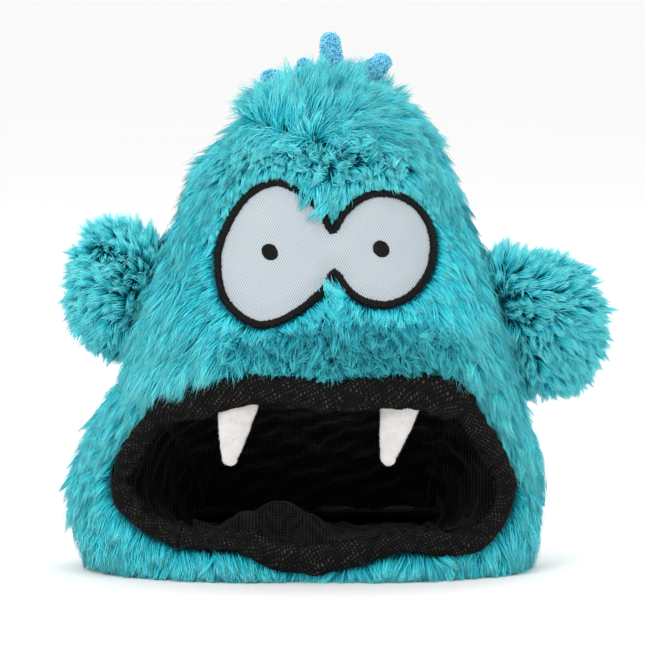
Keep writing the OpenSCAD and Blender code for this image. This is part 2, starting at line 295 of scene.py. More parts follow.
# ---------- Materials ----------
class Look:
    """A procedural material: its Principled shader, with helpers to add nodes to it."""

    def __init__(self, name, roughness, specular, sheen=0.0, sheen_tint=(1, 1, 1)):
        self.material = bpy.data.materials.new(name)
        self.material.use_nodes = True
        self.tree = self.material.node_tree
        self.shader = self.tree.nodes["Principled BSDF"]
        self.shader.inputs["Roughness"].default_value = roughness
        self.shader.inputs["Specular IOR Level"].default_value = specular
        self.shader.inputs["Sheen Weight"].default_value = sheen
        self.shader.inputs["Sheen Roughness"].default_value = 0.4
        self.shader.inputs["Sheen Tint"].default_value = (*sheen_tint, 1)
        self.place = self.add("ShaderNodeTexCoord")

    def add(self, kind, **values):
        node = self.tree.nodes.new(kind)
        for key, value in values.items():
            if key in node.inputs:
                node.inputs[key].default_value = value
            else:
                setattr(node, key, value)
        return node

    def join(self, source, target):
        self.tree.links.new(source, target)

    def noise(self, scale, detail=3.0):
        node = self.add("ShaderNodeTexNoise", Scale=scale, Detail=detail)
        self.join(self.place.outputs["Object"], node.inputs["Vector"])
        return node.outputs["Fac"]

    def ramp(self, source, stops):
        node = self.add("ShaderNodeValToRGB")
        ramp = node.color_ramp
        while len(ramp.elements) < len(stops):
            ramp.elements.new(0.5)
        for element, (at, colour) in zip(ramp.elements, stops):
            element.position = at
            element.color = (*colour, 1)
        self.join(source, node.inputs["Fac"])
        return node.outputs["Color"]

    def wave(self, axis, pitch, turn=(0, 0, 0)):
        """Threads across an axis, one every pitch metres."""
        turned = self.add("ShaderNodeMapping")
        turned.inputs["Rotation"].default_value = [math.radians(a) for a in turn]
        self.join(self.place.outputs["Object"], turned.inputs["Vector"])
        node = self.add("ShaderNodeTexWave", Scale=TAU / pitch / 20, Distortion=0.6, Detail=1.0,
                        wave_type="BANDS", bands_direction=axis)
        node.inputs["Detail Scale"].default_value = 2.0
        self.join(turned.outputs["Vector"], node.inputs["Vector"])
        return node.outputs["Fac"]

    def math(self, operation, a, b):
        node = self.add("ShaderNodeMath", operation=operation)
        for socket, value in zip(node.inputs, (a, b)):
            if isinstance(value, (int, float)):
                socket.default_value = value
            else:
                self.join(value, socket)
        return node.outputs["Value"]

    def own_uv(self):
        """The two values that the mesh gives each point as its UVs."""
        uv = self.add("ShaderNodeUVMap", uv_map=UV_LAYER)
        split = self.add("ShaderNodeSeparateXYZ")
        self.join(uv.outputs["UV"], split.inputs["Vector"])
        return split.outputs["X"], split.outputs["Y"]

    def colour(self, source, tint=None):
        """The shader's colour, multiplied by a tint where there is one."""
        if tint is not None:
            product = self.add("ShaderNodeMix", data_type="RGBA", blend_type="MULTIPLY")
            factor, first, second = (product.inputs[i] for i in (0, 6, 7))
            factor.default_value = 1.0
            self.join(source, first)
            self.join(tint, second)
            source = product.outputs[2]
        self.join(source, self.shader.inputs["Base Color"])

    def bump(self, source, distance, strength=1.0):
        node = self.add("ShaderNodeBump", Distance=distance, Strength=strength)
        self.join(source, node.inputs["Height"])
        self.join(node.outputs["Normal"], self.shader.inputs["Normal"])


def pile_material(name, root, body, tip, tint):
    """Pile: dark at the root, a painted shade deep among the strands, and light at the tip, partly its own
    tone and partly a painted highlight; with a tone for each strand, from its own UVs.
    """
    look = Look(name, roughness=0.55, specular=0.18, sheen=0.05, sheen_tint=tint)
    tone, height = look.own_uv()
    along = look.ramp(height, [(0.0, root), (0.45, body), (1.0, tip)])
    # The lighter, warmer top of this tone ramp is partly a painted highlight.
    shade = look.ramp(tone, [(0.0, (0.3, 0.40, 0.43)), (0.5, (1, 1, 1)), (1.0, (1.9, 1.22, 1.13))])
    look.colour(along, shade)
    return look.material


def woven_material(name, dark, light, pitch, roughness, depth, specular):
    """Coarse plain weave, seen from any side, with lighter crowns on its threads: painted highlights,
    brighter in some patches than in others.
    """
    look = Look(name, roughness=roughness, specular=specular, sheen=0.05)
    across = look.wave("X", pitch)
    down = look.wave("Y", pitch, (45, 0, 0))
    up = look.wave("Z", pitch, (45, 0, 0))
    height = look.math("MULTIPLY", look.math("ADD", across, 0.35), look.math("ADD", down, up))
    # The lighter crowns are painted highlights on the threads.
    crown = look.ramp(height, [(0.35, dark), (1.0, light)])
    # Patches where the painted highlights are brighter or dimmer.
    glint_patches = look.ramp(look.noise(140), [(0.35, (0.55, 0.55, 0.55)), (0.7, (1, 1, 1))])
    look.colour(crown, glint_patches)
    look.bump(height, depth)
    return look.material


def band_material():
    """The rolled lip: black threads whose crowns, which its UVs count, carry a painted warm grey highlight,
    brighter in some patches than in others.
    """
    look = Look("black_lip_weave", roughness=0.65, specular=0.1)
    height, _ = look.own_uv()
    # Black between the threads; the warm grey on their crowns is a painted highlight.
    crown = look.ramp(height, [(0.35, (0.001, 0.001, 0.001)), (0.72, (0.012, 0.0115, 0.010)),
                               (1.0, (0.085, 0.078, 0.067))])
    # Patches where the painted highlights are brighter or dimmer.
    glint_patches = look.ramp(look.noise(240), [(0.42, (0.08, 0.08, 0.08)), (0.66, (1, 1, 1))])
    look.colour(crown, glint_patches)
    look.bump(look.noise(2600), 0.08 * MM)
    return look.material


def twill_material(name, dark, light, pitch):
    """Fine diagonal ribs with single threads across them."""
    look = Look(name, roughness=0.6, specular=0.3, sheen=0.3)
    ribs = look.wave("Z", pitch, (0, 62, 0))
    threads = look.wave("X", pitch * 0.7, (0, 20, 0))
    height = look.math("ADD", ribs, look.math("MULTIPLY", threads, 0.5))
    tone = look.ramp(height, [(0.2, dark), (1.1 / 1.5, light)])
    soft = look.ramp(look.noise(45), [(0.3, (0.93, 0.95, 0.97)), (0.7, (1, 1, 1))])
    look.colour(tone, soft)
    look.bump(height, 0.12 * MM)
    return look.material


def fuzzy_material(name, low, high, scale, roughness=0.9, sheen=0.3, depth=0.3 * MM):
    """Short matted fibre: felt, knitted backing, loose stuffing, board."""
    look = Look(name, roughness=roughness, specular=0.15, sheen=sheen)
    coarse = look.noise(scale / 8)
    fine = look.noise(scale, 6.0)
    both = look.math("ADD", look.math("MULTIPLY", coarse, 0.5), look.math("MULTIPLY", fine, 0.5))
    look.colour(look.ramp(both, [(0.35, low), (0.65, high)]))
    look.bump(fine, depth)
    return look.material


def thread_material(name, low, high, roughness):
    """Embroidery thread and other single fibres."""
    look = Look(name, roughness=roughness, specular=0.16)
    look.colour(look.ramp(look.noise(900), [(0.3, low), (0.7, high)]))
    return look.material


# Root colour: painted shade among the strands; tip colour: partly the pile's own tone, partly a painted
# highlight.
PILE = pile_material("plush_pile", (0.003, 0.18, 0.26), (0.028, 0.66, 0.79), (0.20, 0.92, 0.97),
                     (0.2, 0.9, 1))
# The muzzle's fur is darker of its own; its near-black root is painted shade between the short tufts, and its
# light tip is partly a painted highlight.
DARK_PILE = pile_material("plush_pile_muzzle", (0.001, 0.06, 0.11), (0.006, 0.34, 0.46), (0.12, 0.90, 0.97),
                          (0.2, 0.9, 1))
# Dark teal, as dark as the deepest gaps in the pile: painted shade under the strands.
BACKING = fuzzy_material("plush_backing", (0.002, 0.07, 0.11), (0.008, 0.18, 0.25), 1400)
# Black cloth, darker still than black cloth is: its own black together with painted shade inside the puppet;
# its lighter crowns are painted highlights.
LINING = woven_material("black_lining", (0.0004, 0.0004, 0.0004), (0.004, 0.0039, 0.0037), 1.5 * MM, 0.8,
                        0.25 * MM, 0.03)
# The mouth's floor: black cloth made darker still, its own black together with painted shade inside the
# mouth; its lighter crowns are painted highlights.
FLOOR_CLOTH = woven_material("black_floor_weave", (0.0006, 0.0006, 0.0006), (0.014, 0.013, 0.012),
                             1.7 * MM, 0.7, 0.35 * MM, 0.08)
BAND = band_material()
TAPE = fuzzy_material("turquoise_tape", (0.03, 0.46, 0.56), (0.06, 0.60, 0.68), 1800, 0.7, 0.1, 0.1 * MM)
EYE_CLOTH = twill_material("white_twill", (0.25, 0.29, 0.32), (0.46, 0.51, 0.54), 1.1 * MM)
THREAD = thread_material("black_thread", (0.001, 0.001, 0.001), (0.007, 0.007, 0.007), 0.6)
FELT = fuzzy_material("white_felt", (0.56, 0.535, 0.525), (0.68, 0.65, 0.64), 1600, depth=0.12 * MM)
FELT_HAIR = thread_material("white_felt_hair", (0.56, 0.54, 0.53), (0.72, 0.70, 0.69), 0.8)
TERRY = fuzzy_material("blue_terry", (0.10, 0.48, 0.78), (0.18, 0.62, 0.90), 1500)
TERRY_LOOPS = pile_material("blue_terry_loops", (0.17, 0.58, 0.85), (0.26, 0.76, 0.95), (0.20, 0.67, 0.91),
                            (0.6, 0.8, 1))
FILL = fuzzy_material("white_fibre", (0.7, 0.69, 0.66), (0.9, 0.89, 0.87), 600, 0.95, 0.4, 0.8 * MM)
BOARD = fuzzy_material("stiffening_board", (0.36, 0.26, 0.15), (0.52, 0.4, 0.26), 900, 0.85, 0.0, 0.1 * MM)


# ---------- Strands ----------
def strand_mesh(name, path, radius, tone, hint, flat, material, pointed=True):
    """Three sided strands along path, an array of strands by rings by 3. Each is a closed solid."""
    count, rings, _ = path.shape
    ahead = np.concatenate([path[:, 1:], path[:, -1:]], 1)
    behind = np.concatenate([path[:, :1], path[:, :-1]], 1)
    tangent = unit(ahead - behind)
    side = unit(np.cross(tangent, hint[:, None, :]))
    cross = np.cross(tangent, side)
    body = rings - 1 if pointed else rings
    points, tones = [], []
    share = np.linspace(0, 1, rings)
    for k in range(body):
        for j in range(3):
            angle = TAU * (j / 3 + 0.25)
            turn = math.cos(angle) * side[:, k] + flat * math.sin(angle) * cross[:, k]
            points.append(path[:, k] + radius[:, k, None] * turn)
            tones.append(np.stack([tone, np.full(count, share[k])], 1))
    if pointed:
        points.append(path[:, -1])
        tones.append(np.stack([tone, np.ones(count)], 1))
    each = len(points)
    points = np.stack(points, 1).reshape(-1, 3)
    tones = np.stack(tones, 1).reshape(-1, 2)
    quads = [[3 * k + j, 3 * k + (j + 1) % 3, 3 * k + 3 + (j + 1) % 3, 3 * k + 3 + j]
             for k in range(body - 1) for j in range(3)]
    last = 3 * (body - 1)
    if pointed:
        ends = [[last + j, last + (j + 1) % 3, each - 1] for j in range(3)]
    else:
        ends = [[last, last + 1, last + 2]]
    start = (np.arange(count) * each)[:, None, None]
    faces = [(np.array(part)[None] + start).reshape(-1, len(part[0])) for part in (quads, [[2, 1, 0]] + ends)]
    return mesh_object(name, points, faces, material, tones)


def tufts_of(roots, size, rng):
    """The index of each root's tuft, and the roots that the tufts stand on."""
    chosen = rng.choice(len(roots), max(1, len(roots) // size), replace=False)
    return nearest(roots[chosen], roots), chosen


def grow(roots, normals, flow, length, lift, shade, seed, size=28, curl=0.0, width=0.29 * MM,
         pull=(0.35, 0.88), unrest=0.22):
    """Strands of pile: tufts of neighbours share a direction, a length and a point that they lean to.

    Returns path, radius, tone and hint for strand_mesh. flow is the combed direction along the surface,
    lift how far a tip stands off it, as a share of its length. length, lift and shade are one number, or
    one for each root."""
    rng = np.random.default_rng(seed)
    count = len(roots)
    tuft, stood_on = tufts_of(roots, size, rng)
    tufts = len(stood_on)
    swing = (rng.normal(0, unrest, tufts)[tuft] + rng.normal(0, 0.13, count))[:, None]
    flow = unit(along_surface(flow, normals))
    flow = np.cos(swing) * flow + np.sin(swing) * np.cross(normals, flow)
    long = length * rng.uniform(0.85, 1.18, tufts)[tuft] * rng.uniform(0.72, 1.12, count)
    high = np.clip(lift * rng.uniform(0.7, 1.3, tufts)[tuft], 0.1, 0.96)
    reach = np.sqrt(1 - high**2)

    def tip_from(p, n, f, l, h, r):
        return p + l[:, None] * (h[:, None] * n + r[:, None] * f)

    own = tip_from(roots, normals, flow, long, high, reach)
    c = stood_on
    shared = tip_from(roots[c], normals[c], flow[c], long[c], high[c], reach[c])[tuft]
    hold = rng.uniform(*pull, count)
    hold = np.where(rng.random(count) < 0.12, 0.1, hold)[:, None]
    tip = own + hold * (shared - own)
    knee = roots + long[:, None] * (0.40 * normals * (0.5 + 0.5 * high[:, None]) + 0.16 * flow)
    knee = knee + 0.35 * hold * (roots[c][tuft] - roots)
    wobble = rng.normal(0, 1, (count, 3)) * (0.05 + curl) * long[:, None]
    twist = rng.normal(0, 1, (tufts, 3))[tuft] * curl * long[:, None]
    path = []
    for t in (0.0, 0.36, 0.7, 1.0):
        bent = (1 - t) ** 2 * (roots - 0.4 * MM * normals) + 2 * t * (1 - t) * knee + t * t * tip
        path.append(bent + math.sin(math.pi * t) * wobble + math.sin(2.2 * math.pi * t) * twist)
    path = np.stack(path, 1)
    path[:, 1:, 2] = np.maximum(path[:, 1:, 2], rng.uniform(0.15, 0.9, count)[:, None] * MM)
    taper = np.array([0.95, 1.0, 0.66, 0.0])
    radius = width * rng.uniform(0.75, 1.2, count)[:, None] * taper
    tone = np.clip(shade + rng.normal(0, 0.12, tufts)[tuft] + rng.normal(0, 0.13, count), 0.02, 0.98)
    return path, radius, tone, unit(normals + 0.4 * rng.normal(size=(count, 3)))


PIECE_STRANDS = 12000               # keeps each piece under the export's 200,000 triangles


def pile_pieces(name, strands, material, body, bends=False):
    """The strands as pieces, in rows from low to high; where the pile bends, the low ones cross the hinge."""
    path = strands[0]
    order = np.argsort(path[:, 0, 2], kind="stable")
    pieces = int(math.ceil(len(order) / PIECE_STRANDS))
    for i, rows in enumerate(np.array_split(order, pieces)):
        piece = strand_mesh(f"{name}_{i + 1}", *(values[rows] for values in strands), 0.55, material)
        low = path[rows, :, 2].min() < HINGE_TOP
        settle(piece, ACROSS_HINGE if bends and low else body)


# ---------- The face's front surface ----------
def front_field():
    """The front surface's y over x and z, from rays onto the face, smoothed; holes are filled."""
    tree = tree_of("face_panel")
    step = 2.5 * MM
    xs = np.arange(-125 * MM, 110 * MM, step)
    zs = np.arange(0, 255 * MM, step)
    depth = np.zeros((len(zs), len(xs)))
    known = np.zeros_like(depth)
    for i, z in enumerate(zs):
        for j, x in enumerate(xs):
            hit = tree.ray_cast(Vector((x, -0.3, z)), Vector((0, 1, 0)))[0]
            if hit is not None:
                depth[i, j] = hit.y
                known[i, j] = 1
    filled = np.zeros_like(depth)
    done = np.zeros_like(depth)
    for sigma in (1.2, 3.0, 8.0, 24.0):
        reach = int(3 * sigma)
        kernel = np.exp(-0.5 * (np.arange(-reach, reach + 1) / sigma) ** 2)

        def blur(a):
            a = np.apply_along_axis(lambda r: np.convolve(np.pad(r, reach), kernel, "valid"), 0, a)
            return np.apply_along_axis(lambda r: np.convolve(np.pad(r, reach), kernel, "valid"), 1, a)

        total = blur(known)
        value = blur(depth * known) / np.maximum(total, 1e-9)
        use = (done == 0) & (total > 0.25 * kernel.sum())
        filled[use] = value[use]
        done[use] = 1
    filled[done == 0] = depth[known > 0].max()

    def front(x, z):
        u = np.clip((np.asarray(x) - xs[0]) / step, 0, len(xs) - 1.001)
        v = np.clip((np.asarray(z) - zs[0]) / step, 0, len(zs) - 1.001)
        i, j = v.astype(int), u.astype(int)
        a, b = v - i, u - j
        return ((1 - a) * (1 - b) * filled[i, j] + (1 - a) * b * filled[i, j + 1]
                + a * (1 - b) * filled[i + 1, j] + a * b * filled[i + 1, j + 1])

    return front


front = front_field()


def on_face(x, z, off):
    """Points on the face's front surface, off metres in front of it."""
    return np.stack([x, front(x, z) - off, z], -1)


# ---------- Eyes ----------
def eye_curves():
    """The closed outlines of the left and the right eye, in x and z, counterclockwise from the front."""
    cx, cz, w, h = LEFT_EYE
    a = np.linspace(0, TAU, 1600, endpoint=False)
    left = np.stack([cx + w * np.cos(a), cz + h * np.sin(a)], 1)
    right = catmull(RIGHT_EYE, True, 150)[::-1]
    return left * MM, right * MM


def inside_curve(curve, x, z):
    """Whether points lie inside a closed outline, by the crossings of a ray along x."""
    corners = curve[::4]
    inside = np.zeros(np.shape(x), bool)
    for (x0, z0), (x1, z1) in zip(corners, np.roll(corners, -1, 0)):
        if z0 == z1:
            continue
        crosses = ((z0 > z) != (z1 > z)) & (x < (x1 - x0) * (z - z0) / (z1 - z0) + x0)
        inside ^= crosses
    return inside


def eye_outline():
    """The outline of the two eyes together, as one closed line in x and z, and its outward way."""
    arcs = []
    curves = eye_curves()
    for i, curve in enumerate(curves):
        outside = ~inside_curve(curves[1 - i], curve[:, 0], curve[:, 1])
        first = int(np.argmax(outside & ~np.roll(outside, 1)))
        order = (np.arange(len(curve)) + first) % len(curve)
        arcs.append(curve[order][outside[order]])
    line = respaced(np.vstack(arcs), 0.42 * MM, closed=True)
    tangent = unit(np.roll(line, -2, 0) - np.roll(line, 2, 0))
    return line, np.stack([tangent[:, 1], -tangent[:, 0]], 1)


def eye_distance(x, z):
    """How far outside the eyes' outline points lie, less than 0 inside it, and the way away from it."""
    line, out = eye_outline()
    flat_x, flat_z = np.ravel(x), np.ravel(z)
    index = nearest(np.insert(line, 2, 0, axis=1), np.stack([flat_x, flat_z, 0 * flat_x], 1))
    far = np.hypot(flat_x - line[index, 0], flat_z - line[index, 1])
    inside = np.zeros(len(flat_x), bool)
    for curve in eye_curves():
        inside |= inside_curve(curve, flat_x, flat_z)
    way = np.stack([out[index, 0], np.zeros(len(index)), out[index, 1]], 1)
    return np.where(inside, -far, far).reshape(np.shape(x)), way.reshape(*np.shape(x), 3)


def make_eyes():
    """The white cloth of both eyes, their satin stitched border, and the pupils."""
    step = 0.8 * MM
    xs = np.arange(-66 * MM, 54 * MM, step)
    zs = np.arange(128 * MM, 206 * MM, step)
    gx, gz = np.meshgrid(xs, zs)
    distance, _ = eye_distance(gx, gz)
    inside = distance < -1.6 * MM
    puff = 1.5 * MM * smooth_step(-distance, 3 * MM, 12 * MM) + 0.7 * MM
    flat = np.stack([gx.ravel(), np.zeros(gx.size), gz.ravel()], 1)
    rumple = 0.25 * MM * ripple(flat, 22 * MM, 5).reshape(gx.shape)
    outer = on_face(gx, gz, puff + rumple + 0.4 * MM)
    inner = on_face(gx, gz, 0.3 * MM + 0 * gx)
    patch = grid_solid("eye_patch_cloth", outer, inner, inside, EYE_CLOTH)
    settle(patch, "head", "eye_patch")

    line, out = eye_outline()
    count = len(line)
    rng = np.random.default_rng(21)
    lean = unit(np.stack([-out[:, 1], out[:, 0]], 1)) * 0.35 * MM
    edge = rng.normal(0.25, 0.3, count) * MM
    low = line - out * STITCH_W + lean + out * rng.normal(0, 0.25, (count, 1)) * MM
    high = line + out * edge[:, None] - lean
    path = []
    for t in np.linspace(0, 1, 6):
        p = low + t * (high - low)
        rise = 1.55 * MM + 1.35 * MM * math.sin(math.pi * t) ** 0.8
        sunk = 0.9 * MM * (t in (0.0, 1.0))
        path.append(on_face(p[:, 0], p[:, 1], rise - sunk + 0.3 * MM * rng.random(count)))
    path = np.stack(path, 1)
    radius = np.full((count, 6), 0.34 * MM)
    border = strand_mesh("eye_satin_border", path, radius, rng.random(count), np.tile(FORWARD, (count, 1)),
                         0.8, THREAD, pointed=False)
    settle(border, "head", "eye_outline")
    bed = band_mesh("eye_border_bed", line - out * STITCH_W / 2, STITCH_W * 0.5, 0.9 * MM, 1.3 * MM)
    settle(bed, "head")

    for name, (cx, cz) in PUPILS.items():
        make_pupil(name, cx * MM, cz * MM, rng)


def band_mesh(name, line, half, thick, off):
    """A flat closed ring of a lens section along a closed line on the face."""
    sides = 8
    tangent = unit(np.roll(line, -3, 0) - np.roll(line, 3, 0))
    out = np.stack([tangent[:, 1], -tangent[:, 0]], 1)
    rings = []
    for k in range(sides):
        a = TAU * k / sides
        p = line + out * half * math.cos(a)
        rings.append(on_face(p[:, 0], p[:, 1], off + thick * math.sin(a)))
    points = np.stack(rings, 1).reshape(-1, 3)
    return mesh_object(name, points, [tube_faces(len(line), sides, True)], THREAD)


def tube_faces(rings, sides, closed):
    i = np.arange(rings if closed else rings - 1)[:, None]
    j = np.arange(sides)[None]
    a = i * sides + j
    b = i * sides + (j + 1) % sides
    n = rings * sides
    return np.stack([a, b, (b + sides) % n, (a + sides) % n], -1).reshape(-1, 4)


def tube_with_ends(rings, sides):
    """The faces of a tube and of the two flat ends that close it."""
    first = np.arange(sides)
    return [tube_faces(rings, sides, False), first[None, ::-1], first[None] + (rings - 1) * sides]


def grid_solid(name, outer, inner, keep, material):
    """A closed sheet between two grids of points, over the cells that keep marks."""
    rows, cols = keep.shape
    cell = keep[:-1, :-1] & keep[1:, :-1] & keep[:-1, 1:] & keep[1:, 1:]
    index = np.arange(rows * cols).reshape(rows, cols)
    a, b, c, d = index[:-1, :-1][cell], index[:-1, 1:][cell], index[1:, 1:][cell], index[1:, :-1][cell]
    top = np.stack([a, b, c, d], 1)
    n = rows * cols
    edges = np.concatenate([top[:, [0, 1]], top[:, [1, 2]], top[:, [2, 3]], top[:, [3, 0]]])
    key = edges[:, 0].astype(np.int64) * n + edges[:, 1]
    back = edges[:, 1].astype(np.int64) * n + edges[:, 0]
    rim = edges[~np.isin(key, back)]
    wall = np.stack([rim[:, 1], rim[:, 0], rim[:, 0] + n, rim[:, 1] + n], 1)
    faces = np.concatenate([top, top[:, ::-1] + n, wall])
    points = np.concatenate([outer.reshape(-1, 3), inner.reshape(-1, 3)])
    used, faces = np.unique(faces, return_inverse=True)
    return mesh_object(name, points[used], [faces.reshape(-1, 4)], material)


def make_pupil(name, cx, cz, rng):
    """Satin stitched spot: threads side by side across a circle."""
    off = 2.1 * MM
    pitch = 0.30 * MM
    offsets = np.arange(-PUPIL_R + pitch / 2, PUPIL_R, pitch)
    half = np.sqrt(np.maximum(PUPIL_R**2 - offsets**2, 0)) + rng.normal(0, 0.12, len(offsets)) * MM
    turn = math.radians(62)
    u = np.array([math.cos(turn), math.sin(turn)])
    v = np.array([-u[1], u[0]])
    path = []
    for t in np.linspace(-1, 1, 9):
        p = np.array([cx, cz]) + (offsets[:, None] * v + (t * half)[:, None] * u) * (1.0, 1.1)
        dome = 1.1 * MM * np.sqrt(np.maximum(1 - t * t * 0.8 - (offsets / PUPIL_R) ** 2 * 0.3, 0.02))
        path.append(on_face(p[:, 0], p[:, 1], off + dome - (0.8 * MM if abs(t) == 1 else 0)))
    path = np.stack(path, 1)
    radius = np.full(path.shape[:2], 0.26 * MM)
    spot = strand_mesh(f"{name}_stitches", path, radius, rng.random(len(offsets)),
                       np.tile(FORWARD, (len(offsets), 1)), 0.8, THREAD, pointed=False)
    settle(spot, "head", name)
    ring = np.linspace(0, TAU, 40, endpoint=False)
    rows = []
    for share, rise in ((1.0, 0.0), (0.9, 0.7), (0.6, 1.0), (0.02, 1.1)):
        x, z = cx + PUPIL_R * share * np.cos(ring), cz + 1.1 * PUPIL_R * share * np.sin(ring)
        rows.append(on_face(x, z, off - 0.4 * MM + rise * MM * 0.8))
    for share in (0.02, 1.0):
        x, z = cx + PUPIL_R * share * np.cos(ring), cz + PUPIL_R * share * np.sin(ring)
        rows.append(on_face(x, z, off - 0.6 * MM))
    bed = mesh_object(f"{name}_bed", np.concatenate(rows), [tube_faces(6, 40, True)[:, ::-1]], THREAD)
    settle(bed, "head")


# ---------- Mouth ----------
def rim_line():
    """The middle line of the lip band, closed, with its y from the CAD bands."""
    flat = catmull(RIM, True, RIM_STEPS) * MM
    tree = tree_of("upper_lip_band", "lower_lip_band")
    depth = []
    for x, z in flat:
        hit = tree.ray_cast(Vector((x, -0.3, z)), Vector((0, 1, 0)))[0]
        depth.append(hit.y + 3.5 * MM if hit is not None else np.nan)
    depth = np.array(depth)
    good = ~np.isnan(depth)
    place = np.arange(len(depth))
    depth = np.interp(place, place[good], depth[good])
    kernel = np.exp(-0.5 * (np.arange(-30, 31) / 12) ** 2)
    padded = np.concatenate([depth[-30:], depth, depth[:30]])
    depth = np.convolve(padded, kernel / kernel.sum(), "valid")
    return np.stack([flat[:, 0], depth, flat[:, 1]], 1)


rim = rim_line()


def rim_distance(points):
    """How far each point is from the mouth's band, and the way from its nearest place to the point."""
    coarse = rim[::8]
    away = points - coarse[nearest(coarse, points)]
    away[:, 1] = 0
    return np.linalg.norm(away, axis=1), unit(away)


def make_band(name, node, start, end, body, seed):
    """A stretch of the rolled woven band, with its weave and its puckers as real relief."""
    line = rim[int(start * RIM_STEPS): int(end * RIM_STEPS) + 1]
    if end >= len(RIM):
        line = np.vstack([line, rim[:1]])
    step = 0.34 * MM
    line = respaced(line, step)
    tangent = unit(np.gradient(line, axis=0))
    out = unit(np.cross(FORWARD, tangent))
    depth = np.cross(tangent, out)
    angle = np.concatenate([np.linspace(math.pi - 0.4, TAU + 0.4, 64, endpoint=False),
                            np.linspace(TAU + 0.4, TAU + math.pi - 0.4, 14, endpoint=False)])
    count, sides = len(line), len(angle)
    gone = step * np.arange(count)
    pucker = ripple(line, 16 * MM, seed) * 0.55 * MM
    low_side = 1 - smooth_step(line[:, 2], 30 * MM, 46 * MM)
    droop = np.exp(-((line[:, 0] / MM + 14) / 24) ** 2) * low_side
    sag = np.exp(-((line[:, 0] / MM - 62) / 20) ** 2) * low_side
    hang = smooth_step(line[:, 2], 80 * MM, 96 * MM)
    hang = hang * (1 + 0.9 * np.exp(-((line[:, 0] / MM - 48) / 16) ** 2))
    wide = BAND_W + pucker + MM * (2.6 * droop + 1.2 * sag + 2.5 * hang)
    line = line - np.stack([0 * droop, 0 * droop, MM * (2.0 * droop + 2.6 * sag + 2.6 * hang)], 1)
    base = (line[:, None] + wide[:, None, None] * np.cos(angle)[None, :, None] * out[:, None]
            - (BAND_D + 0.4 * pucker)[:, None, None] * np.sin(angle)[None, :, None] * depth[:, None])
    normal = (np.cos(angle)[None, :, None] * out[:, None] - np.sin(angle)[None, :, None] * depth[:, None])
    flat = base.reshape(-1, 3)
    slack = (0.22 * ripple(flat, 5 * MM, seed + 2, 2)).reshape(count, sides, 2)
    along = gone[:, None] / WEAVE_PITCH + slack[..., 0]
    around = WEAVE_AROUND * angle[None] / TAU + slack[..., 1]
    crown = np.abs(np.sin(math.pi * (along + around * 0.5)) * np.sin(math.pi * (around - along * 0.5)))
    relief = 0.5 * MM * crown + (0.45 * MM * ripple(flat, 8 * MM, seed + 1)).reshape(crown.shape)
    points = base + normal * relief[:, :, None]
    # The crown value, as the first UV, also places the band's painted highlights.
    tones = np.stack([crown, np.repeat(np.linspace(0, 1, count)[:, None], sides, 1)], -1).reshape(-1, 2)
    made = mesh_object(name, points.reshape(-1, 3), tube_with_ends(count, sides), BAND, tones)
    settle(made, body, node)


def make_mouth():
    """The lip's two bands, and the cloth that lines the mouth."""
    make_band("upper_lip_roll", "upper_lip_band", 0, UPPER_END, ACROSS_HINGE, 31)
    make_band("lower_lip_roll", "lower_lip_band", UPPER_END, len(RIM), "jaw", 37)

    def floor_folds(p):
        """The floor's cloth lifts in a low mound in the middle and in folds towards the corners."""
        x, y = p[:, 0] / MM, p[:, 1] / MM
        mound = 21 * np.exp(-((x + 27) / 25) ** 2 - ((y + 28) / 14) ** 2)
        left = 4 * np.exp(-((x + 78) / 14) ** 2 - ((y + 25) / 18) ** 2) * (1 + np.sin(x / 2.2 + y / 5))
        ribs = 1.4 * np.sin(x / 3.4 + 0.08 * y) * np.exp(-((x + 22) / 34) ** 2) * smooth_step(y, -52, -36)
        fade = smooth_step(y, -54, -42) * smooth_step(-y, -44, -20)
        return np.stack([0 * x, 0 * x, (mound + left + ribs) * fade * MM], 1)

    rumple = (4, 16 * MM, 0.9 * MM, 41)         # cuts, size and height of its folds, seed: one for all sides
    floor = cloth_copy("jaw_lining", "mouth_floor", FLOOR_CLOTH, "jaw", "woven_lining", *rumple, floor_folds)

    roof = cloth_copy("palate_lining", "mouth_roof", LINING, "head", "woven_lining", *rumple)
    for side in ("left", "right"):
        cheek = cloth_copy(f"{side}_cheek_lining", f"{side}_mouth_cheek", LINING, ACROSS_HINGE,
                           "woven_lining", *rumple)
        make_mouth_seam(cheek, "palate_lining")
        make_mouth_seam(cheek, "jaw_lining")
    make_throat()
    make_seam_allowance()


def make_mouth_seam(cheek, panel):
    """The rolled seam where a cheek's cloth meets the roof's or the floor's, from the lip to the back."""
    tree = tree_of(panel)
    points = points_of(cheek.data)
    hits = [tree.find_nearest(p) for p in points]
    reached, gap = np.array([h[0] for h in hits]), np.array([h[3] for h in hits])
    bins = np.round(points[:, 1] / (5 * MM)).astype(int)
    line = []
    for b in np.unique(bins):
        rows = np.flatnonzero(bins == b)
        rows = rows[np.argsort(gap[rows])[:4]]
        if gap[rows[0]] < 7 * MM:
            line.append((points[rows] + reached[rows]).mean(0) / 2)
    if len(line) < 3:
        return
    line = catmull(np.array(line), False, 8)
    tangent = unit(np.gradient(line, axis=0))
    side = unit(np.cross(tangent, UP))
    cross = np.cross(tangent, side)
    sides, radius = 14, 2.8 * MM
    angle = (TAU * np.arange(sides) / sides)[None, :, None]
    ring = radius * (np.cos(angle) * side[:, None] + np.sin(angle) * cross[:, None])
    points = (line[:, None] + ring).reshape(-1, 3)
    seam = mesh_object(f"{cheek.name}_{panel}_seam", points, tube_with_ends(len(line), sides), LINING)
    settle(seam, ACROSS_HINGE)


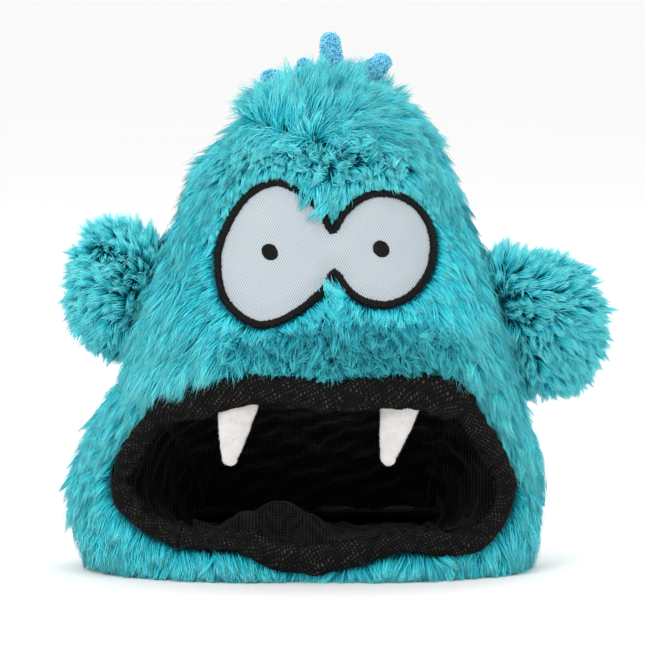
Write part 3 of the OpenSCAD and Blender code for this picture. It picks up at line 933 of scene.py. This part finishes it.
def make_throat():
    """The fold behind the palate and the floor: half a drum of cloth round the hinge, with closed ends."""
    low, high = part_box("throat_lining")
    middle = np.array([high.y - 8.8 * MM, (low.z + high.z) / 2 - 0.2 * MM])
    steps = 40
    angle = np.radians(np.linspace(132, -100, steps))
    reach = 12.2 * MM
    curve = 0.45                        # how fast the drum's ends curve forward
    xs = np.linspace(low.x - 14 * MM, high.x + 14 * MM, 100)
    outer, inner = [], []
    for off, grid in ((0.0, outer), (1.2 * MM, inner)):
        for x in xs:
            past = max(low.x + 12 * MM - x, x - high.x + 12 * MM, 0)
            y = middle[0] - curve * past + (reach - off) * np.cos(angle)
            z = middle[1] + (reach - off) * np.sin(angle)
            grid.append(np.stack([np.full(steps, x), y, z], 1))
    outer, inner = np.array(outer), np.array(inner)
    for grid in (outer, inner):
        grid += (ripple(grid.reshape(-1, 3), 12 * MM, 53, 3) * 0.35 * MM).reshape(grid.shape)
    outer[..., 2] = np.maximum(outer[..., 2], 2.2 * MM)
    fold = grid_solid("mouth_fold", outer, inner, np.ones(outer.shape[:2], bool), LINING)
    settle(fold, "head", "throat_lining")

    back = middle[0] - curve * 25 * MM
    side = np.array([0.5 * MM, 0, 0])
    k = np.arange(steps - 1)
    hub = steps + 1                     # the second face's middle, after the first face's points
    left = np.stack([0 * k, k + 1, k + 2], 1)
    right = np.stack([0 * k + hub, k + hub + 2, k + hub + 1], 1)
    wall = np.stack([k + 1, k + hub + 1, k + hub + 2, k + 2], 1)
    ends = np.array([[0, hub, hub + 1, 1], [0, steps, hub + steps, hub]])
    for i, x in enumerate((xs[1], xs[-2])):
        centre = np.array([[x, back, middle[1]]])
        arc = np.stack([np.full(steps, x), back + (reach - 0.4 * MM) * np.cos(angle),
                        middle[1] + (reach - 0.4 * MM) * np.sin(angle)], 1)
        arc[:, 2] = np.maximum(arc[:, 2], 2.4 * MM)
        points = np.concatenate([centre - side, arc - side, centre + side, arc + side])
        end = mesh_object(f"mouth_fold_end_{i + 1}", points, [left, right, wall, ends], LINING)
        settle(end, "head")


def make_seam_allowance():
    """The strip of lining behind the lip, sewn to the back of the skin all round the mouth."""
    line = respaced(rim, 1.5 * MM, closed=True)
    tangent = unit(np.roll(line, -2, 0) - np.roll(line, 2, 0))
    surface = unit(line - body_axis(line))
    out = unit(np.cross(tangent, surface))
    height = line[:, 2:3]
    free = 1 - smooth_step(height, 17 * MM, 27 * MM)      # along the jaw the strip hangs loose
    wide = 8 + 10 * (1 - free) * (1 - smooth_step(height, 62 * MM, 76 * MM))
    rows = []
    for across, deep, loose in ((-4, 2.8, 0), (1, 4.0, 0.2), (6, 3.4, 2.6), (wide, 3.2, 5.0),
                                (wide, 4.4, 5.0), (6, 4.6, 2.4), (1, 5.2, 0.2), (-4, 4.0, 0)):
        rows.append(line + across * MM * out - (deep + loose * free) * MM * surface)
    points = np.stack(rows, 1)
    points[..., 2] = np.maximum(points[..., 2], 1.0 * MM)
    strip = mesh_object("lip_seam_allowance", points.reshape(-1, 3), [tube_faces(len(line), 8, True)], LINING)
    settle(strip, ACROSS_HINGE)


# ---------- Fangs ----------
def make_fang(name, seed):
    """A felt tooth: a tongue with a round tip, its top tucked behind the lip, with a fine fuzz."""
    low, high = (np.array(c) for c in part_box(name))
    points = points_of(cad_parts[name].data)
    tip_x = points[points[:, 2] < low[2] + 0.6 * MM, 0].mean()
    tip_r = 3.8 * MM
    rows, sides = 60, 36
    bend = high[2] - low[2] - tip_r             # from the lip down to the middle of the round tip
    tip = bend + tip_r * np.sin(np.linspace(0, 1.53, 21)[1:])
    drop = np.concatenate([np.linspace(-8 * MM, bend, 40), tip])
    share = np.clip(drop / bend, -0.3, 1)
    swell = 0.7 * MM * np.sin(math.pi * np.clip(share, 0, 1))
    left = low[0] + share * (tip_x - tip_r - low[0]) - swell
    right = high[0] + share * (tip_x + tip_r - high[0]) + swell
    round_off = np.sqrt(np.maximum(1 - (np.maximum(drop - bend, 0) / tip_r) ** 2, 0.001))
    mid = (left + right) / 2
    width = (right - left) / 2 * round_off
    thick = (1.3 * MM + 1.5 * MM * np.sin(math.pi * np.clip(0.15 + 0.75 * share, 0, 1))) * round_off
    angle = TAU * np.arange(sides) / sides
    x = mid[:, None] + width[:, None] * np.cos(angle)
    tuck = 3.6 * MM * (1 - smooth_step(share, -0.2, 0.3))
    y = (low[1] + high[1]) / 2 + 0.3 * MM - tuck[:, None] + thick[:, None] * np.sin(angle)
    z = np.repeat(high[2] - drop[:, None], sides, 1)
    points = np.stack([x, y, z], -1).reshape(-1, 3)
    points = points + ripple(points, 7 * MM, seed, 3) * 0.15 * MM
    felt = mesh_object(f"{name}_felt", points, [f[:, ::-1] for f in tube_with_ends(rows, sides)], FELT)
    settle(felt, name, name)
    roots, normals = scatter(felt.data, 2.2, seed)
    rng = np.random.default_rng(seed)
    strands = grow(roots, normals, rng.normal(size=roots.shape), 0.9 * MM, 0.7, 0.5, seed, size=6, curl=0.1,
                   width=0.06 * MM, pull=(0.1, 0.4))
    fuzz = strand_mesh(f"{name}_fuzz", *strands, 0.7, FELT_HAIR)
    settle(fuzz, name)


# ---------- Stuffed pieces ----------
CLOTH_PRESSURE = 400
CLOTH_FRAMES = 20


def remeshed(node, name, material, voxel):
    made = copied(node, name, material, 0)
    change = made.modifiers.new("remesh", "REMESH")
    change.mode = "VOXEL"
    change.voxel_size = voxel
    change.use_smooth_shade = True
    apply_modifiers(made)
    return made


def apply_modifiers(thing):
    shown = thing.evaluated_get(bpy.context.evaluated_depsgraph_get())
    mesh = bpy.data.meshes.new_from_object(shown)
    thing.modifiers.clear()
    old = thing.data
    thing.data = mesh
    bpy.data.meshes.remove(old)


def stuffed(node, name, material, voxel, cap, seed):
    """A stuffed bag: voxel mesh, swollen a little by cloth pressure, at most by cap, then subdivided."""
    made = remeshed(node, name, material, voxel)
    rest = points_of(made.data)
    cloth = made.modifiers.new("cloth", "CLOTH")
    cloth.settings.effector_weights.gravity = 0
    cloth.settings.use_pressure = True
    cloth.settings.uniform_pressure_force = CLOTH_PRESSURE
    cloth.settings.quality = 5
    cloth.collision_settings.use_collision = False
    scene = bpy.context.scene
    scene.frame_start, scene.frame_end = 1, CLOTH_FRAMES
    for step in range(1, CLOTH_FRAMES + 1):
        scene.frame_set(step)
    swollen = points_of(made.evaluated_get(bpy.context.evaluated_depsgraph_get()).data)
    moved = swollen - rest
    far = np.linalg.norm(moved, axis=1, keepdims=True)
    moved = moved * np.minimum(1, cap / np.maximum(far, 1e-9))
    made.modifiers.clear()
    scene.frame_set(1)
    set_points(made.data, rest + moved)
    points = points_of(made.data)
    set_points(made.data, points + ripple(points, 16 * MM, seed, 3) * 0.5 * MM)
    finer = made.modifiers.new("subdivision", "SUBSURF")
    finer.levels = finer.render_levels = 1
    apply_modifiers(made)
    return made


def make_arm(side, seed):
    """An arm: fibre inside, a knitted skin over it and the pile on that."""
    body = f"{side}_arm"
    core = stuffed(f"{body}_stuffing", f"{body}_fill", FILL, 3.5 * MM, 2 * MM, seed)
    settle(core, body, f"{body}_stuffing")
    outer = points_of(core.data) + normals_of(core.data) * 2.6 * MM
    inner = points_of(core.data) + normals_of(core.data) * 0.5 * MM
    skin = core.copy()
    skin.data = core.data.copy()
    skin.name = f"{body}_skin"
    for key in list(skin.keys()):
        del skin[key]
    skin.parent = None
    bpy.context.scene.collection.objects.link(skin)
    set_points(skin.data, outer)
    skin.data.materials[0] = BACKING
    lined = bmesh.new()
    lined.from_mesh(skin.data)
    back = core.data.copy()
    set_points(back, inner)
    back.flip_normals()
    lined.from_mesh(back)
    roots, normals = scatter(skin.data, 2.4, seed)
    lined.to_mesh(skin.data)
    lined.free()
    settle(skin, body, f"{body}_fur")

    origin = np.array(ARM_ROOTS[body]) * MM
    sign = 1 if side == "left" else -1
    seam = origin + np.array([-sign * 6, 0, 0]) * MM
    clear = sign * (roots[:, 0] - origin[0]) > -11 * MM
    roots, normals = roots[clear], normals[clear]
    flow = unit(roots - seam) + 0.35 * DOWN + 0.25 * ripple(roots, 22 * MM, seed, 3)
    far = np.linalg.norm(roots - seam, axis=1)
    length = 13.5 * MM * (0.65 + 0.35 * smooth_step(far, 4 * MM, 26 * MM))
    # Painted light and shade: the pile is darker near the body, where the arm meets it, darker on the arm's
    # underside and lighter on its top.
    shade = 0.43 + 0.16 * smooth_step(far, 8 * MM, 34 * MM) + 0.09 * normals[:, 2]
    strands = grow(roots, normals, flow, length, 0.74, shade, seed + 1, size=18, pull=(0.4, 0.9), unrest=0.4)
    pile_pieces(f"{body}_pile", strands, PILE, body)


def make_spike(number):
    """A stuffed crest spike covered in small terry loops."""
    node = f"crest_spike_{number}"
    core = remeshed(node, f"{node}_bag", TERRY, 1.3 * MM)
    points = points_of(core.data)
    rumple = ripple(points, 5 * MM, 60 + number, 3) * 0.25 * MM
    set_points(core.data, points + rumple - 0.3 * MM * normals_of(core.data))
    settle(core, node, node)
    roots, normals = scatter(core.data, 1.5, 70 + number)
    rng = np.random.default_rng(80 + number)
    way = unit(along_surface(rng.normal(size=roots.shape), normals))
    side = way * rng.uniform(0.5, 0.9, (len(roots), 1)) * MM
    high = normals * rng.uniform(0.9, 1.7, (len(roots), 1)) * MM
    skew = unit(np.cross(normals, side)) * rng.normal(0, 0.35, (len(roots), 1)) * MM
    path = np.stack([roots - side * 0.6 - normals * 0.3 * MM, roots - side + high * 0.55, roots + high + skew,
                     roots + side + high * 0.5, roots + side * 0.5 - normals * 0.3 * MM], 1)
    radius = np.full(path.shape[:2], 0.31 * MM)
    loops = strand_mesh(f"{node}_loops", path, radius, rng.uniform(0.35, 0.65, len(roots)),
                        unit(np.cross(side, normals)), 0.9, TERRY_LOOPS, pointed=False)
    settle(loops, node)


# ---------- Body skins and their pile ----------
def body_axis(p):
    """The middle of the body at a point's height."""
    height = np.clip(p[:, 2], 25 * MM, 215 * MM)
    return np.stack([0 * height - 9 * MM, 0 * height + 8 * MM, height], 1)


def combed(p):
    """The way the pile of the body is combed."""
    out = unit(p - WHORL)
    fall = np.interp(p[:, 2], [30 * MM, 90 * MM, 160 * MM, 235 * MM], [2.2, 1.2, 0.55, 0.0])[:, None]
    swirl = 0.30 * ripple(p, 60 * MM, 91, 3)
    return out + fall * DOWN + swirl


def make_face():
    """The face's skin, and its pile in three kinds: long, the tousled brow and the short muzzle."""
    cloth_copy("face_panel", "face_skin", BACKING, ACROSS_HINGE, "plush", 2, 22 * MM, 0.5 * MM, 61)
    roots, normals = scatter(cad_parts["face_panel"].data, 2.9, 101, body_axis)
    eye, away = eye_distance(roots[:, 0], roots[:, 2])
    clear = eye > 0.3 * MM
    roots, normals, eye, away = roots[clear], normals[clear], eye[clear], away[clear]
    mouth, off_mouth = rim_distance(roots)
    x, z = roots[:, 0] / MM, roots[:, 2] / MM

    above = smooth_step(away[:, 2], 0.15, 0.6)
    near = 1 - smooth_step(eye, 2 * MM, 17 * MM)
    fringe = above * (1 - smooth_step(eye, 6 * MM, 12 * MM))
    flow = unit(combed(roots)) * (1 - 0.7 * near)[:, None]
    flow = flow + (0.8 * near * (1 - above))[:, None] * away + (2.5 * fringe)[:, None] * DOWN
    beside = ((1 - smooth_step(mouth, 5 * MM, 24 * MM)) * (1 - smooth_step(z, 50, 98)))[:, None]
    flow = unit(flow) * (1 - 0.4 * beside) + 0.6 * beside * off_mouth

    muzzle = np.exp(-((x - 2) / 58) ** 4 - ((z - 119) / 16) ** 4) * (1 - near * 0.5)
    brow = np.exp(-((x + 2) / 40) ** 4 - ((z - 212 + 0.004 * (x + 4) ** 2) / 9) ** 4) * (1 - fringe)
    crown = smooth_step(z, 218, 240)
    length = 23 * MM * (1 - 0.30 * smooth_step(z, 175, 215) * (1 - crown))
    length *= 0.88 + 0.12 * smooth_step(z, 2, 22)
    length *= 0.42 + 0.58 * smooth_step(eye, 1 * MM, 20 * MM)
    length *= 1 - 0.36 * muzzle
    length *= 1 - 0.22 * brow
    length *= 1 - (0.34 + 0.26 * smooth_step(z, 86, 96)) * (1 - smooth_step(mouth, 5 * MM, 16 * MM))
    length *= 0.30 + 0.70 * smooth_step(distance_to("opening_binding", roots), 4 * MM, 24 * MM)
    length *= 1 - 0.25 * smooth_step(-x, 84, 94) * smooth_step(z, 45, 60) * (1 - smooth_step(z, 105, 118))
    length *= 1 - 0.25 * crown * smooth_step(x, 2, 10)
    length = np.where(fringe > 0.3, np.minimum(length, 1.15 * eye + 2.5 * MM), length)
    lift = 0.38 + 0.24 * muzzle + 0.36 * brow + (0.40 - 0.30 * smooth_step(x, 2, 10)) * crown
    lift = lift - 0.12 * near * (1 - above) - 0.12 * fringe
    shade = 0.54 - 0.20 * muzzle + 0.07 * ripple(roots, 40 * MM, 93)
    curl = muzzle > 0.4
    ridge = ~curl & (brow > 0.4)
    for part, keep, material, twist, size, pull, unrest in (
        ("face_pile", ~curl & ~ridge, PILE, 0.02, 34, (0.3, 0.88), 0.22),
        ("brow_pile", ridge, PILE, 0.06, 26, (0.7, 0.98), 0.7),
        ("muzzle_pile", curl, DARK_PILE, 0.05, 13, (0.85, 1.0), 0.5),
    ):
        strands = grow(roots[keep], normals[keep], flow[keep], length[keep], lift[keep], shade[keep], 103,
                       size, twist, pull=pull, unrest=unrest)
        pile_pieces(part, strands, material, "head", bends=True)
    make_locks()


def make_locks():
    """Loose locks that fall over the eyes' border. Each: root x and z, way in x and z, length and strands."""
    rng = np.random.default_rng(167)
    roots, flow, length = [], [], []
    for x, z, way_x, way_z, long, count in (
        (-16, 205, 0.1, -1, 15, 80), (-11, 203, -0.05, -1, 17, 100), (-6, 200, -0.2, -1, 18, 110),
        (-2, 197, -0.35, -1, 17, 90), (-23, 208, -0.2, -1, 11, 50), (38, 200, 0.35, -1, 11, 60),
        (-2, 145, -0.5, 1, 11, 90), (5, 143, -0.9, 0.8, 9, 60),
    ):
        places = rng.normal(0, 1.5, (count, 2)) + (x, z)
        roots.append(on_face(places[:, 0] * MM, places[:, 1] * MM, np.zeros(count)))
        flow.append(np.tile((way_x, 0.0, way_z), (count, 1)) + rng.normal(0, 0.10, (count, 3)))
        length.append(np.full(count, long * MM))
    roots, flow, length = np.concatenate(roots), np.concatenate(flow), np.concatenate(length)
    normals = np.tile(unit(FORWARD + 0.1 * UP), (len(roots), 1))
    strands = grow(roots, normals, flow, length, 0.34, 0.62, 169, size=30, curl=0.03)
    pile_pieces("brow_locks", strands, PILE, "head")


def make_back():
    """The back's skin and its pile."""
    cloth_copy("back_panel", "back_skin", BACKING, "head", "plush", 2, 22 * MM, 0.5 * MM, 63)
    roots, normals = scatter(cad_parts["back_panel"].data, 1.5, 111, body_axis)
    flow = combed(roots)
    length = 20 * MM * (0.72 + 0.28 * smooth_step(roots[:, 2], 2 * MM, 22 * MM))
    lift = 0.44 + 0.25 * smooth_step(roots[:, 2], 225 * MM, 240 * MM)
    shade = 0.5 + 0.06 * ripple(roots, 40 * MM, 95)
    strands = grow(roots, normals, flow, length, lift, shade, 113, width=0.36 * MM)
    pile_pieces("back_pile", strands, PILE, "head")


def make_chin():
    """The jaw's skin and pile, thinner on steep faces; scatter leaves the flat underside bare."""
    cloth_copy("chin_panel", "chin_skin", BACKING, "jaw", "plush", 2, 22 * MM, 0.4 * MM, 65)
    roots, normals = scatter(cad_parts["chin_panel"].data, 3.2, 121, body_axis)
    steep = normals[:, 2] < -0.6
    keep = ~steep | (np.random.default_rng(125).random(len(roots)) < 0.4)
    roots, normals, steep = roots[keep], normals[keep], steep[keep]
    _, off_mouth = rim_distance(roots)
    flow = off_mouth + 0.8 * DOWN + 0.5 * ripple(roots, 30 * MM, 97, 3)
    length = np.where(steep, 10.0, 16.5) * MM
    strands = grow(roots, normals, flow, length, np.where(steep, 0.2, 0.62), 0.55, 123)
    pile_pieces("chin_pile", strands, PILE, "jaw")


# ---------- Linings, pockets, hem ----------
def tape_stands_out(p):
    """The tape on the side seam stands out past the pile's backing."""
    at_side = smooth_step(p[:, 0], 60 * MM, 80 * MM) * (1 - smooth_step(p[:, 1], 15 * MM, 40 * MM))
    return np.stack([8.5 * MM * at_side, -4.0 * MM * at_side, 0 * at_side], 1)


def make_inside():
    """The linings, pockets, hem, head stuffing and boards."""
    for i, (node, name, body, cuts, size, height) in enumerate((
        ("hand_lining", "hand_lining_cloth", "head", 2, 20, 0.6),
        ("base_panel", "base_cloth", ACROSS_HINGE, 3, 25, 0.15),
        ("stuffing_liner", "stuffing_liner_cloth", "head", 3, 25, 0.4),
        ("finger_pocket", "finger_pocket_cloth", "head", 4, 18, 0.8),
        ("thumb_pocket", "thumb_pocket_cloth", "jaw", 4, 18, 0.3),
    )):
        cloth_copy(node, name, LINING, body, "woven_lining", cuts, size * MM, height * MM, 71 + i)
    cloth_copy("opening_binding", "opening_tape", TAPE, "head", "binding_tape", 3, 10 * MM, 0.3 * MM, 76,
               tape_stands_out)
    fill = remeshed("head_stuffing", "head_fibre", FILL, 5 * MM)
    points = points_of(fill.data)
    set_points(fill.data, points + ripple(points, 18 * MM, 77, 3) * 0.7 * MM - normals_of(fill.data) * MM)
    settle(fill, "head", "head_stuffing")
    for node in ("palate_board", "jaw_board"):
        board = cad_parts[node].data
        board.materials.clear()
        board.materials.append(BOARD)


# ---------- Studio ----------
def make_studio():
    """A pale floor, a white surround and four soft lamps."""
    scene = bpy.context.scene
    scene.view_settings.view_transform = "Standard"
    world = bpy.data.worlds.new("studio")
    world.use_nodes = True
    world.node_tree.nodes["Background"].inputs["Color"].default_value = (1, 1, 1, 1)
    world.node_tree.nodes["Background"].inputs["Strength"].default_value = 1.0
    scene.world = world

    floor_look = Look("pale_floor", roughness=0.9, specular=0.1)
    shade = floor_look.ramp(floor_look.noise(2), [(0, (0.94, 0.94, 0.94)), (1, (0.96, 0.96, 0.96))])
    floor_look.colour(shade)
    ring = np.linspace(0, TAU, 96, endpoint=False)
    points = np.stack([45 * np.cos(ring), 45 * np.sin(ring), 0 * ring], 1)
    floor = mesh_object("floor", points, [np.arange(96)[None]], floor_look.material, smooth=False)

    for name, place, size, power in (
        ("key", (-1.0, -1.8, 1.3), 1.0, 22),
        ("fill", (1.7, -1.4, 0.9), 1.6, 6),
        ("top", (0.1, 0.3, 2.0), 1.6, 6),
        ("back", (0.8, 1.9, 1.2), 1.4, 10),
    ):
        lamp = bpy.data.lights.new(name, "AREA")
        lamp.size = size
        lamp.energy = power
        thing = added(name, lamp)
        thing.location = place
        thing.rotation_euler = (Vector((0, 0, 0.12)) - Vector(place)).to_track_quat("-Z", "Y").to_euler()


def make_camera():
    """The viewing angle: level with the face, a few degrees from above, and far away."""
    elevation = math.radians(5)
    away = 2.5
    seen = 0.3225                       # width and height of the view at the face
    middle = Vector((-0.007, -0.065, 0.13225 / math.cos(elevation)))
    camera = bpy.data.cameras.new("camera")
    camera.sensor_width = 36
    camera.lens = camera.sensor_width * away / seen
    camera.clip_end = 100
    thing = added("camera", camera)
    back = Vector((0, -math.cos(elevation), math.sin(elevation)))
    thing.location = middle + back * away
    thing.rotation_euler = (-back).to_track_quat("-Z", "Y").to_euler()
    bpy.context.scene.camera = thing


make_camera()
make_studio()
make_eyes()
make_mouth()
make_fang("left_fang", 131)
make_fang("right_fang", 137)
for side, seed in (("left", 141), ("right", 151)):
    make_arm(side, seed)
for number in range(1, 5):
    make_spike(number)
make_face()
make_back()
make_chin()
make_inside()
